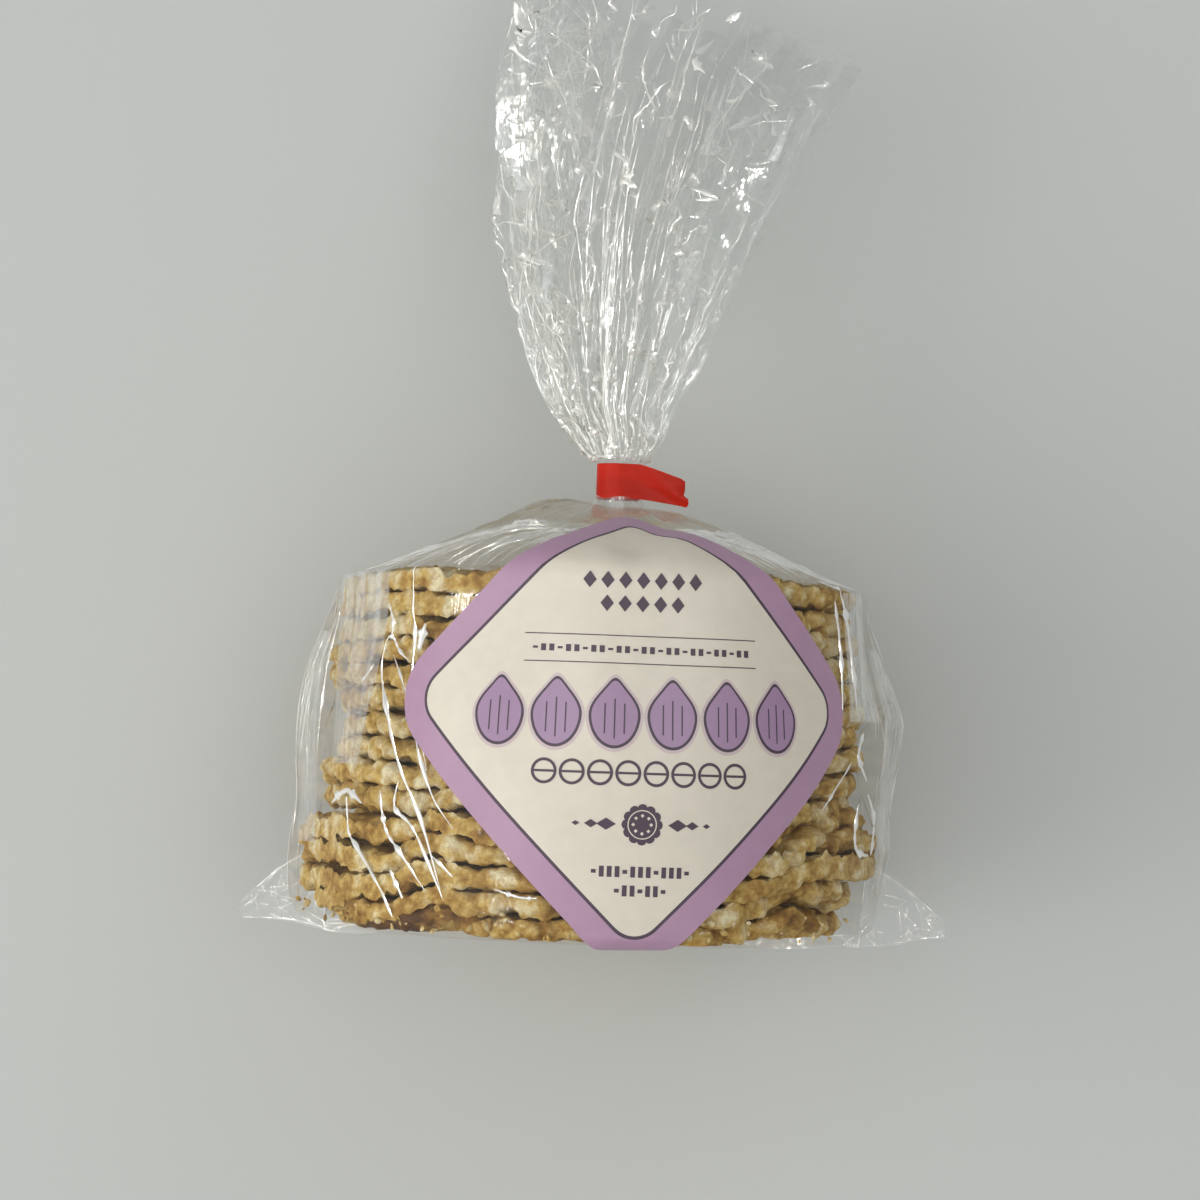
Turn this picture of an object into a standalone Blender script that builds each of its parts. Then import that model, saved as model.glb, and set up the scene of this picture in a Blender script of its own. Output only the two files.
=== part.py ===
"""A clear film bag of pizzelle wafers, lying on its side with its paper label on top.

Metres, +Z up.  The wafers stand on edge, one behind another along Y: the sealed bottom of the bag is at -Y,
and its neck, tied with tape, and its ruffled mouth are at +Y.  The origin is the middle of the small flat
that the bag lies on, under the middle of the stack.

Nodes: bag (the film with its wafers, one closed solid out to the film), label, tie_tape.
"""
import bisect
import math

import bmesh
import bpy

# Driving dimensions, in metres.
WAFER_COUNT = 15            # wafers in the stack
WAFER_PITCH = 0.00532       # from one wafer to the next
BARREL_RADIUS = 0.0640      # film drawn over five inch wafers
RIM_RADIUS = 0.0605         # the same at the neck end, where the wafers are a little smaller
FOLD_REACH = 0.0693         # from the middle of the stack to the crease along each side of the bag
NECK_RADIUS = 0.0046        # the gathered film under the tape
NECK_X = 0.0025
NECK_Z = 0.0600
TAPE_WIDTH = 0.0095         # three eighths of an inch
LABEL_SIDE = 0.0858         # a square of three and three eighths inches, set on its corner
LABEL_CORNER = 0.0127       # half an inch
LABEL_ACROSS = 0.0089       # the label's middle, round the barrel to the right of its top
LABEL_ALONG = 0.0112        # and along it towards the neck
FLAG_LENGTH = 0.0125        # the tape's two ends, stuck together
RUFFLE_LENGTH = 0.114       # from the tape to the middle of the mouth
RUFFLE_LEAN = 0.014         # how far the mouth lies to the right of the neck
RUFFLE_DROP = 0.033         # how far the mouth hangs below the neck
EAR_REACH = 0.0829          # from the middle to the tip of each corner of the bag
MESH_GAP = 0.0004           # left between one piece and the next

# Sizes that follow from them, and lesser ones.
SEGMENTS = 50               # points round each section of the bag
REST_ANGLE = 1.5 * 2 * math.pi / SEGMENTS       # half of the arc that is flattened where the bag rests
STACK_FRONT = 0.0395        # the last wafer's face, at the neck end
STACK_BACK = STACK_FRONT - WAFER_COUNT * WAFER_PITCH
BACK_ROUND = 0.0040         # rounding of the film over the bottom wafer's edge
RIM_Y = 0.0380              # where the film leaves the barrel for the shoulder
NECK_Y = 0.0566             # where the shoulder meets the neck
TAPE_START = NECK_Y + MESH_GAP
TAPE_END = TAPE_START + TAPE_WIDTH
RUFFLE_START = TAPE_END + MESH_GAP
RIDGE_DEPTH = 0.0011        # how far the film sinks between two wafers
EDGE_UNEVENNESS = 0.0005    # how much the wafers' edges differ
SHOULDER_RINGS = 10
SHOULDER_PLEATS = 10
SHOULDER_PLEAT_DEPTH = 0.0009
RUFFLE_RINGS = 15
RUFFLE_PLEATS = 10
MOUTH_SLANT = math.radians(20.5)
RUFFLE_FREED = 0.012        # how far from the tape the pleats begin to open freely
MOUTH_DISH = 0.012          # how far the mouth is pushed in
SEAM_THICKNESS = 0.0012
SEAM_BELOW = 0.011          # how far the bottom seam lies below the middle of the stack
EAR_DROOP = 0.016           # how much lower its two ends lie
EAR_ROOT = 0.066            # how far out each ear starts from the side of the bag
EAR_ROOT_Y = -0.024
LABEL_PAPER = 0.0004        # thickness of the label
LABEL_GAP = 0.0006          # left between the film and the label
LABEL_ROWS = 34
LABEL_COLUMNS = 12
TAPE_THICKNESS = 0.0005
TAPE_STEPS = 28
FLAG_STEPS = 5


def smooth(low, high, value):
    """0 below low, 1 above high, and an even curve between them."""
    t = min(max((value - low) / (high - low), 0.0), 1.0)
    return t * t * (3 - 2 * t)


def barrel_radius(y):
    """Radius of the film where it is drawn over the wafers' edges."""
    return BARREL_RADIUS + (RIM_RADIUS - BARREL_RADIUS) * smooth(-0.012, 0.040, y)


def barrel_height(y):
    """Height of the barrel's axis: the flattened arc below it stays on the ground."""
    return barrel_radius(y) * math.cos(REST_ANGLE)


def fold_reach(y):
    """How far out the creases along the two sides of the bag stand."""
    spare = FOLD_REACH - BARREL_RADIUS
    near_rim = smooth(0.016, 0.040, y)
    near_bottom = smooth(-0.034, -0.041, y)
    return barrel_radius(y) + spare * (1 - near_rim) * (1 - 0.35 * near_bottom)


def section_radius(angle, y):
    """A section's radius: the wafers' circle, and straight film from it to the crease on each side."""
    radius = barrel_radius(y)
    from_side = abs(math.asin(math.sin(angle)))
    tangent = math.acos(radius / fold_reach(y))
    if from_side < tangent:
        return radius / math.cos(tangent - from_side)
    return radius


def ridge_fade(angle, y):
    """1 where the film lies on the wafers' edges, 0 at the side creases and over the resting flat."""
    tangent = math.acos(barrel_radius(y) / fold_reach(y))
    from_side = abs(math.asin(math.sin(angle)))
    from_floor = abs(math.remainder(angle + math.pi / 2, 2 * math.pi))
    return smooth(tangent, tangent + 0.25, from_side) * smooth(REST_ANGLE, REST_ANGLE + 0.35, from_floor)


def barrel_point(angle, y, sink=0.0, inset=0.0):
    """A point of the film over the stack; sink draws it in between two wafers."""
    radius = section_radius(angle, y) - sink * ridge_fade(angle, y) - inset
    height = barrel_height(y) + radius * math.sin(angle)
    return (radius * math.cos(angle), y, max(height, 0.0))


def wafer_point(angle, y, wafer, sink):
    """A point of the film over one wafer's edge, or sunk beside it; no two wafers are quite the same."""
    uneven = EDGE_UNEVENNESS * (1 + math.sin(2.1 * wafer + 2 * angle) * math.cos(1.3 * wafer - 3 * angle))
    return barrel_point(angle, y, sink=sink + uneven)


def back_point(angle, turn):
    """The film over the bottom wafer's edge, turned from 0 on the barrel to a quarter turn on its face."""
    y = STACK_BACK + BACK_ROUND - BACK_ROUND * math.sin(turn)
    return barrel_point(angle, y, inset=BACK_ROUND * (1 - math.cos(turn)))


def shoulder_point(angle, part):
    """The film from the barrel's rim, at part 0, to the neck, at part 1: fuller on top, under the label."""
    fullness = 1.20 - 0.74 * smooth(0.2, 1.0, math.sin(angle))
    rise = math.sin(math.pi / 2 * part) ** fullness
    pleat = SHOULDER_PLEAT_DEPTH * math.sin(math.pi * part) * (1 + math.cos(SHOULDER_PLEATS * angle))
    start = section_radius(angle, RIM_Y)
    radius = start + (NECK_RADIUS - start) * part
    centre_x = NECK_X * part
    centre_z = barrel_height(RIM_Y) + (NECK_Z - barrel_height(RIM_Y)) * part
    y = RIM_Y + (NECK_Y - RIM_Y) * rise - pleat
    return (centre_x + radius * math.cos(angle), y, max(centre_z + radius * math.sin(angle), 0.0))


def ruffle_point(angle, part, scale=1.0, back=0.0):
    """The pleated fan beyond the tape: it spreads, droops, leans right, and its mouth is cut on a slant."""
    along = RUFFLE_LENGTH * part
    freed = math.sqrt(along) * (1 - 0.5 * math.exp(-along / RUFFLE_FREED))
    half_width = NECK_RADIUS + 0.117 * freed
    half_height = NECK_RADIUS + 0.050 * freed
    pleat = 1 - (0.06 + 0.14 * part) * (1 - math.cos(RUFFLE_PLEATS * angle)) * smooth(0.0, 0.1, part)
    slant = MOUTH_SLANT * part ** 2
    across = half_width * pleat * scale * math.cos(angle)
    x = NECK_X + RUFFLE_LEAN * part ** 3 + across * math.cos(slant)
    y = RUFFLE_START + along - back - across * math.sin(slant)
    z = NECK_Z - RUFFLE_DROP * part ** 1.6 + half_height * pleat * scale * math.sin(angle)
    return (x, y, z)


def ring(point, *values, **named):
    """One section of the bag: point(angle, ...) all the way round."""
    return [point(2 * math.pi * k / SEGMENTS, *values, **named) for k in range(SEGMENTS)]


def solid(name, mesh):
    """A new object from a finished mesh, with its faces turned outwards."""
    bmesh.ops.recalc_face_normals(mesh, faces=mesh.faces)
    data = bpy.data.meshes.new(name)
    mesh.to_mesh(data)
    mesh.free()
    piece = bpy.data.objects.new(name, data)
    bpy.context.scene.collection.objects.link(piece)
    return piece


def loft(name, rings):
    """A closed solid through a row of sections with equal counts of points."""
    mesh = bmesh.new()
    loops = [[mesh.verts.new(point) for point in section] for section in rings]
    for here, there in zip(loops, loops[1:]):
        for k in range(len(here)):
            after = (k + 1) % len(here)
            mesh.faces.new((here[k], here[after], there[after], there[k]))
    mesh.faces.new(reversed(loops[0]))
    mesh.faces.new(loops[-1])
    return solid(name, mesh)


def finish(piece, colour, roughness, alpha=1.0, sharp=40):
    """Shade a piece smooth between its sharp edges and give it its own material."""
    piece.data.shade_smooth()
    piece.data.set_sharp_from_angle(angle=math.radians(sharp))
    material = bpy.data.materials.new(piece.name)
    material.use_nodes = True
    shader = material.node_tree.nodes["Principled BSDF"]
    shader.inputs["Base Color"].default_value = (*colour, 1.0)
    shader.inputs["Roughness"].default_value = roughness
    shader.inputs["Alpha"].default_value = alpha
    piece.data.materials.append(material)


def join(piece, other):
    """Unite other with piece, and drop it."""
    union = piece.modifiers.new("union", "BOOLEAN")
    union.operation = "UNION"
    union.object = other
    other.hide_render = True
    other.display_type = "WIRE"


def bag_sections():
    """All the sections of the bag, from the middle of its bottom to the inside of its mouth."""
    face = ring(back_point, math.pi / 2)
    middle = barrel_height(STACK_BACK)
    sections = [[(0.45 * x, y, middle + 0.45 * (z - middle)) for x, y, z in face]]
    for step in (3, 2, 1):
        sections.append(ring(back_point, math.pi / 2 * step / 3))
    for wafer in range(WAFER_COUNT):
        start = STACK_BACK + wafer * WAFER_PITCH
        for place, sink in ((0.0, RIDGE_DEPTH), (0.28, 0.0), (0.72, 0.0)):
            y = start + place * WAFER_PITCH
            if STACK_BACK + BACK_ROUND < y < RIM_Y - 0.0006:
                sections.append(ring(wafer_point, y, wafer, sink))
    for step in range(SHOULDER_RINGS + 1):
        sections.append(ring(shoulder_point, (step / SHOULDER_RINGS) ** 1.2))
    for step in range(RUFFLE_RINGS + 1):
        sections.append(ring(ruffle_point, (step / RUFFLE_RINGS) ** 1.35))
    sections.append(ring(ruffle_point, 1.0, scale=0.85, back=0.5 * MOUTH_DISH))
    sections.append(ring(ruffle_point, 1.0, scale=0.40, back=MOUTH_DISH))
    return sections


def seam_section(x):
    """The sealed seam across the bottom at x, with the flat corner it ends in: four points round it."""
    reach = abs(x)
    height = barrel_height(STACK_BACK) - SEAM_BELOW - EAR_DROOP * smooth(0.050, EAR_REACH, reach)
    outer = STACK_BACK - 0.0032 + 0.0020 * smooth(0.060, EAR_REACH, reach)
    tip = outer + 0.0035
    to_tip = max(0.0, (reach - EAR_ROOT) / (EAR_REACH - EAR_ROOT)) ** 1.5
    inner = EAR_ROOT_Y + (tip - EAR_ROOT_Y) * to_tip
    inner_height = height + 0.3 * (inner - outer)
    return [(x, outer, height), (x, inner, inner_height),
            (x, inner, inner_height + SEAM_THICKNESS), (x, outer, height + SEAM_THICKNESS)]


def make_bag():
    """The film with its wafers, united with the bottom seam and its two ears."""
    bag = loft("bag", bag_sections())
    steps = 22
    seam = loft("seam_guide", [seam_section(EAR_REACH * (2 * k / steps - 1)) for k in range(steps + 1)])
    join(bag, seam)
    finish(bag, (0.60, 0.46, 0.22), 0.25, alpha=0.9, sharp=50)
    return bag


def meridian(angle):
    """The bag's profile in one direction: rising distances along it from y = 0, and the points there."""
    steps = 40
    points = [back_point(angle, math.pi / 2 * (1 - k / 12)) for k in range(12)]
    points += [barrel_point(angle, STACK_BACK + BACK_ROUND + (RIM_Y - STACK_BACK - BACK_ROUND) * k / steps)
               for k in range(steps)]
    points += [shoulder_point(angle, (k / steps) ** 1.5) for k in range(steps + 1)]
    distances = [0.0]
    for here, there in zip(points, points[1:]):
        distances.append(distances[-1] + math.dist(here, there))
    ys = [point[1] for point in points]
    at = next(k for k in range(len(ys)) if ys[k] >= 0)
    zero = distances[at] - ys[at]
    return [distance - zero for distance in distances], points


def film_point(across, along):
    """The film at a distance across and along from the top of the barrel at y = 0."""
    angle = math.pi / 2 - across / BARREL_RADIUS
    distances, points = meridian(angle)
    k = min(max(bisect.bisect(distances, along), 1), len(distances) - 1)
    t = (along - distances[k - 1]) / (distances[k] - distances[k - 1])
    return [a + (b - a) * t for a, b in zip(points[k - 1], points[k])]


def raised_point(across, along, lift):
    """A point lifted off the film along its outward normal."""
    step = 0.0012
    centre = film_point(across, along)
    right = [a - b for a, b in zip(film_point(across + step, along), film_point(across - step, along))]
    ahead = [a - b for a, b in zip(film_point(across, along + step), film_point(across, along - step))]
    normal = [right[1] * ahead[2] - right[2] * ahead[1],
              right[2] * ahead[0] - right[0] * ahead[2],
              right[0] * ahead[1] - right[1] * ahead[0]]
    size = math.hypot(*normal)
    return tuple(c + lift * n / size for c, n in zip(centre, normal))


def label_half_width(along):
    """Half the width of a square set on its corner, with round corners, at a distance from its middle."""
    corner = LABEL_SIDE / math.sqrt(2)
    arc_centre = corner - LABEL_CORNER * math.sqrt(2)
    away = abs(along)
    if away > corner - LABEL_CORNER / math.sqrt(2):
        return math.sqrt(LABEL_CORNER ** 2 - (away - arc_centre) ** 2)
    if away < LABEL_CORNER / math.sqrt(2):
        return arc_centre + math.sqrt(LABEL_CORNER ** 2 - along ** 2)
    return corner - away


def make_label():
    """The paper label, laid over the film: round the barrel, over the shoulder and round the bottom edge."""
    tip = LABEL_SIDE / math.sqrt(2) - (math.sqrt(2) - 1) * LABEL_CORNER - 0.0003
    sections = []
    for row in range(LABEL_ROWS + 1):
        from_middle = tip * (2 * row / LABEL_ROWS - 1)
        half = label_half_width(from_middle)
        along = LABEL_ALONG + from_middle
        spots = [LABEL_ACROSS + half * (2 * k / LABEL_COLUMNS - 1) for k in range(LABEL_COLUMNS + 1)]
        under = [raised_point(spot, along, LABEL_GAP) for spot in spots]
        over = [raised_point(spot, along, LABEL_GAP + LABEL_PAPER) for spot in spots]
        sections.append(under + over[::-1])
    label = loft("label", sections)
    finish(label, (0.49, 0.31, 0.42), 0.5)
    return label


def make_tie_tape():
    """The red tape: a loop round the neck, and its two ends stuck together in a short flag to the right."""
    inner = NECK_RADIUS + MESH_GAP
    outer = inner + TAPE_THICKNESS
    corners = ((inner, TAPE_START), (outer, TAPE_START), (outer, TAPE_END), (inner, TAPE_END))
    mesh = bmesh.new()
    loops = []
    for k in range(TAPE_STEPS):
        turn = 2 * math.pi * k / TAPE_STEPS
        out_x, out_z = math.cos(turn), math.sin(turn)
        section = [(NECK_X + radius * out_x, y, NECK_Z + radius * out_z) for radius, y in corners]
        loops.append([mesh.verts.new(point) for point in section])
    for k in range(TAPE_STEPS):
        here, there = loops[k], loops[(k + 1) % TAPE_STEPS]
        for j in range(4):
            mesh.faces.new((here[j], here[(j + 1) % 4], there[(j + 1) % 4], there[j]))
    tie = solid("tie_tape", mesh)

    sections = []
    for k in range(FLAG_STEPS + 1):
        part = k / FLAG_STEPS
        x = NECK_X + inner * 0.80 + FLAG_LENGTH * part
        z = NECK_Z + inner * 0.68 - 0.0020 * part ** 2
        low = TAPE_START + 0.0001 - 0.0006 * part
        high = TAPE_END - 0.0001 - 0.0042 * part
        above = z + 2 * TAPE_THICKNESS
        sections.append([(x, low, z), (x, high, z), (x, high, above), (x, low, above)])
    join(tie, loft("flag_guide", sections))
    finish(tie, (0.62, 0.03, 0.02), 0.35)
    return tie


def main():
    for piece in list(bpy.data.objects):
        bpy.data.objects.remove(piece)
    make_bag()
    make_label()
    make_tie_tape()


main()
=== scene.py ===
"""The looks of a clear film bag of pizzelle wafers, lying on its side with its paper label on top.

Metres, +Z up.  The stack of wafers runs along Y: the bag's sealed bottom is at -Y, and its neck, tied with
red tape, and its ruffled mouth are at +Y.
"""
import math

import bpy
import numpy as np
from mathutils import Matrix, Vector


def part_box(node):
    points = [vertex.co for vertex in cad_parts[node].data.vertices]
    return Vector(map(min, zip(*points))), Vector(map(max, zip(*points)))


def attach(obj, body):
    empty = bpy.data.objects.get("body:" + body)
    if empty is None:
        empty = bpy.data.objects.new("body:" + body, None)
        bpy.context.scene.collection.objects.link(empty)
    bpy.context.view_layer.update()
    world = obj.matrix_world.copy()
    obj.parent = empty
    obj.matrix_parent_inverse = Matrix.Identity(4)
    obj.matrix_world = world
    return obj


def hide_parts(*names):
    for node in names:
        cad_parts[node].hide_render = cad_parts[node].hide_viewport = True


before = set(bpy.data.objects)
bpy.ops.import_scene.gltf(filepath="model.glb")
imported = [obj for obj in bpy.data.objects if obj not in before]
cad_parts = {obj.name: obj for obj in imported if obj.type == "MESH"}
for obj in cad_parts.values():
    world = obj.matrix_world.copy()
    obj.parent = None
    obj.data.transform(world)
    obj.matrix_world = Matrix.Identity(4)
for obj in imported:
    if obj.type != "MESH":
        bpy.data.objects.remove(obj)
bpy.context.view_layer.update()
bag_low, bag_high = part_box("bag")
tie_low, tie_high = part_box("tie_tape")

MM = 0.001
TURN = 2 * math.pi

# The stack and the film drawn over it, from the frame.
REST_ANGLE = 0.03 * TURN                            # half of the arc that is flattened where the bag rests
FILM_RADIUS = bag_high.z / (1 + math.cos(REST_ANGLE))
RIM_RADIUS = FILM_RADIUS - 3.5 * MM                 # the wafers at the neck end are a little smaller
FOLD_REACH = FILM_RADIUS + 5.3 * MM                 # to the crease along each side of the bag
EAR_REACH = bag_high.x
STACK_FRONT = 39.5 * MM
WAFER_COUNT = 15
WAFER_PITCH = 5.32 * MM
STACK_BACK = STACK_FRONT - WAFER_COUNT * WAFER_PITCH
BACK_ROUND = 4.0 * MM
RIM_Y = 38.0 * MM
NECK = Vector((2.5 * MM, tie_low.y - 0.4 * MM, 60.0 * MM))
NECK_RADIUS = 4.6 * MM
TAPE_START = tie_low.y + 0.3 * MM
TAPE_END = tie_high.y - 0.3 * MM
RUFFLE_LENGTH = 114 * MM
LABEL_ACROSS = 8.9 * MM                             # the label's middle, from the top of the barrel
LABEL_ALONG = 11.2 * MM
LABEL_SIDE = 85.8 * MM
LABEL_CORNER = 12.7 * MM


# ---------------------------------------------------------------- making pieces by hand

def to_objects():
    bpy.ops.object.mode_set(mode="OBJECT")


def deselect():
    if bpy.context.object and bpy.context.object.mode != "OBJECT":
        to_objects()
    bpy.ops.object.select_all(action="DESELECT")


def named(name):
    """The primitive that was just added, under its own name."""
    piece = bpy.context.object
    piece.name = piece.data.name = name
    return piece


def work_on(piece):
    deselect()
    piece.select_set(True)
    bpy.context.view_layer.objects.active = piece


def edit(piece, kind="FACE"):
    """Into edit mode on a piece, with all of it selected."""
    work_on(piece)
    bpy.ops.object.mode_set(mode="EDIT")
    bpy.ops.mesh.select_mode(type=kind)
    bpy.ops.mesh.select_all(action="SELECT")


def apply(piece):
    work_on(piece)
    for modifier in list(piece.modifiers):
        bpy.ops.object.modifier_apply(modifier=modifier.name)


def thicken(piece, thickness, offset):
    wall = piece.modifiers.new("thickness", "SOLIDIFY")
    wall.thickness = thickness
    wall.offset = offset
    apply(piece)


def points_of(piece):
    """The piece's points as an array."""
    co = np.empty(len(piece.data.vertices) * 3)
    piece.data.vertices.foreach_get("co", co)
    return co.reshape(-1, 3)


def set_points(piece, co):
    piece.data.vertices.foreach_set("co", np.ascontiguousarray(co, float).ravel())
    piece.data.update()


def mark(piece, name, shares):
    """Give each point of a piece a share for its material to read."""
    marks = piece.data.attributes.new(name, "FLOAT", "POINT")
    marks.data.foreach_set("value", np.clip(shares, 0, 1))


def join(name, pieces):
    deselect()
    for piece in pieces:
        piece.select_set(True)
    bpy.context.view_layer.objects.active = pieces[0]
    bpy.ops.object.join()
    return named(name)


def tidy_mesh(piece):
    """Merge doubles and turn the faces outwards."""
    edit(piece, "VERT")
    bpy.ops.mesh.remove_doubles(threshold=0.01 * MM)
    bpy.ops.mesh.normals_make_consistent(inside=False)
    to_objects()


def smooth(piece, angle):
    work_on(piece)
    bpy.ops.object.shade_smooth_by_angle(angle=math.radians(angle))


def copy_of(piece, name):
    """A copy with its own mesh."""
    twin = piece.copy()
    twin.data = piece.data.copy()
    twin.name = twin.data.name = name
    bpy.context.scene.collection.objects.link(twin)
    return twin


def sheet_grid(name, columns, rows, place, closed=True):
    """A grid whose points go where place(u, v) puts them, u across and v along, both from 0 to 1."""
    deselect()
    bpy.ops.mesh.primitive_grid_add(x_subdivisions=columns, y_subdivisions=rows, size=1)
    piece = named(name)
    flat = points_of(piece)
    set_points(piece, place(flat[:, 0] + 0.5, flat[:, 1] + 0.5))
    if closed:
        tidy_mesh(piece)
    return piece


def unit(vectors):
    return vectors / np.maximum(np.linalg.norm(vectors, axis=-1, keepdims=True), 1e-12)


def laid_on(place, step=0.002):
    """The function that gives points lifted off the sheet that place(u, v) draws."""
    def lay(u, v, lift):
        here = place(u, v)
        normal = unit(np.cross(place(u, v + step) - here, place(u + step, v) - here))
        return here + normal * np.asarray(lift)[:, None]
    return lay


def trace(name, points):
    """An edge drawn through points: one vertex extruded on and on."""
    deselect()
    bpy.ops.mesh.primitive_plane_add(size=0.001, location=points[0])
    piece = named(name)
    bpy.ops.object.transform_apply()
    edit(piece, "VERT")
    bpy.ops.mesh.merge(type="CENTER")
    for here, there in zip(points, points[1:]):
        step = [b - a for a, b in zip(here, there)]
        bpy.ops.mesh.extrude_region_move(TRANSFORM_OT_translate={"value": step})
    to_objects()
    return piece


# ---------------------------------------------------------------- the film's shape

def ease(low, high, value):
    """0 below low, 1 above high, and an even curve between them."""
    t = np.clip((np.asarray(value) - low) / (high - low), 0, 1)
    return t * t * (3 - 2 * t)


def bump(middle, width, value):
    """1 at middle, falling to 0 about a width away."""
    return np.exp(-((np.asarray(value) - middle) / (0.6 * width)) ** 2)


def tri(turns):
    """A zigzag from -1 to 1, once each turn, with sharp folds."""
    return 4 * np.abs(turns - np.floor(turns + 0.5)) - 1


# The right side crease, from the sealed bottom up to the rim.
RIGHT_CORNERS_Y = [y * MM for y in (-42, -34, -27, -20, -13, 9.5, 40)]
RIGHT_CORNERS_X = [x * MM for x in (63.8, 64.6, 65.6, 67.3, 66.6, 69.6, 58.0)]


def barrel_radius(y):
    return FILM_RADIUS + (RIM_RADIUS - FILM_RADIUS) * ease(-12 * MM, 40 * MM, y)


def barrel_height(y):
    return barrel_radius(y) * math.cos(REST_ANGLE)


def fold_reach(angle, y):
    """How far out the side creases stand: the left one bows, the right one has corners."""
    spare = FOLD_REACH - FILM_RADIUS
    reach = spare * (1 - ease(16 * MM, 40 * MM, y)) * (1 - 0.35 * ease(-34 * MM, -41 * MM, y))
    wave = 0.35 * MM * np.sin(y / (5.5 * MM)) - 0.8 * MM * bump(-12 * MM, 12 * MM, y)
    waved = ease(40 * MM, 25 * MM, y) * ease(-41 * MM, -30 * MM, y)
    left = barrel_radius(y) + reach + (wave + 0.25 * MM) * waved
    right = np.interp(y, RIGHT_CORNERS_Y, RIGHT_CORNERS_X)
    return np.where(np.cos(angle) > 0, np.maximum(right, barrel_radius(y) + 0.1 * MM), left)


def section_radius(angle, y):
    """The wafers' circle, and straight film from it to the crease on each side."""
    radius = barrel_radius(y)
    from_side = np.abs(np.arcsin(np.sin(angle)))
    tangent = np.arccos(np.minimum(radius / fold_reach(angle, y), 1))
    return np.where(from_side < tangent, radius / np.cos(tangent - from_side), radius), tangent, from_side


def film_barrel(angle, y, slack, inset=0):
    """The film over the stack, sunk in soft dents where it is slack."""
    radius, tangent, from_side = section_radius(angle, y)
    from_floor = np.abs(np.mod(angle + math.pi / 2 + math.pi, TURN) - math.pi)
    tight = ease(tangent, tangent + 0.25, from_side) * ease(REST_ANGLE, REST_ANGLE + 0.3, from_floor)
    dents = 0.5 + 0.25 * np.sin(5 * angle + y / (9 * MM)) + 0.25 * np.sin(9 * angle - y / (6 * MM) + 1)
    gap = 0.5 + 0.5 * np.cos(TURN * ((y - STACK_BACK) / WAFER_PITCH + 0.4 * np.sin(3 * angle)))
    radius = radius - slack * (0.8 * MM * dents + 0.10 * MM * gap) * tight - inset
    height = barrel_height(y) + radius * np.sin(angle)
    return np.stack([radius * np.cos(angle), y + 0 * angle, np.maximum(height, 0)], -1)


def film_back(angle, part, slack):
    """The film over the bottom wafer's face, from its middle at part 0, and round its edge, at part 1."""
    turn = np.clip((1 - part) / 0.15, 0, 1) * math.pi / 2
    inner = np.clip(part / 0.85, 0, 1)
    round_y = STACK_BACK + BACK_ROUND * (1 - np.sin(turn))
    x, y, z = np.moveaxis(film_barrel(angle, round_y, slack, BACK_ROUND * (1 - np.cos(turn))), -1, 0)
    centre = barrel_height(STACK_BACK)
    shrink = np.where(part < 0.85, inner, 1.0)
    rays = slack * tri(angle * 7 / TURN + 0.3 * np.sin(3 * angle)) * 0.5 * MM - 0.4 * MM
    y = y + np.where(part < 0.85, rays * np.sin(math.pi * inner), 0)
    return np.stack([x * shrink, y, centre + (z - centre) * shrink], -1)


def shoulder_fullness(angle):
    """The lower, the fuller: the film stands up under the label and falls away at the sides."""
    return 1.20 - 0.67 * ease(0.2, 1.0, np.sin(angle))


def label_dent(angle, part):
    """How far the film is pressed in over the wafers' edge, right of the label's top corner."""
    middle = math.radians(84) - math.radians(7) * ease(0.08, 0.34, part)
    across = bump(middle, 0.09 + 0.20 * ease(0.0, 0.30, part), angle)
    return 2.0 * MM * across * ease(0.0, 0.10, part) * ease(0.60, 0.30, part)


def film_shoulder(angle, part, slack):
    """The film from the rim, at part 0, to the neck, at part 1, in folds that run to the tie."""
    rise = np.sin(math.pi / 2 * part) ** shoulder_fullness(angle)
    start = section_radius(angle, RIM_Y)[0]
    dent = label_dent(angle, part)
    radius = start + (NECK_RADIUS - start) * part - dent
    fold = np.sin(math.pi * part) * ease(0, 0.25, part)
    bend = (angle + 0.10 * np.sin(3 * angle + 5 * part)) / TURN
    pleat = 0.55 * (1 + tri(9 * bend)) + 0.35 * (1 + tri(23 * bend + 0.2))
    y = RIM_Y + (NECK.y - RIM_Y) * rise - 1.1 * MM * slack * pleat * fold - 0.7 * dent
    y = y + 2.4 * MM * bump(math.radians(150), 1.0, angle) * bump(0.78, 0.26, part)
    centre_z = barrel_height(RIM_Y) + (NECK.z - barrel_height(RIM_Y)) * part
    z = np.maximum(centre_z + radius * np.sin(angle), 0)
    return np.stack([NECK.x * part + radius * np.cos(angle), y, z], -1)


def film_along(angle, v, slack=1.0):
    """The whole film from the middle of its bottom, at v 0, to the tied neck, at v 1."""
    front = STACK_BACK + BACK_ROUND
    back = film_back(angle, np.clip(v / 0.22, 0, 1), slack)
    barrel = film_barrel(angle, front + (RIM_Y - front) * np.clip((v - 0.22) / 0.43, 0, 1), slack)
    shoulder = film_shoulder(angle, np.clip((v - 0.65) / 0.35, 0, 1) ** 1.2, slack)
    return np.where((v < 0.22)[..., None], back, np.where((v < 0.65)[..., None], barrel, shoulder))


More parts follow.
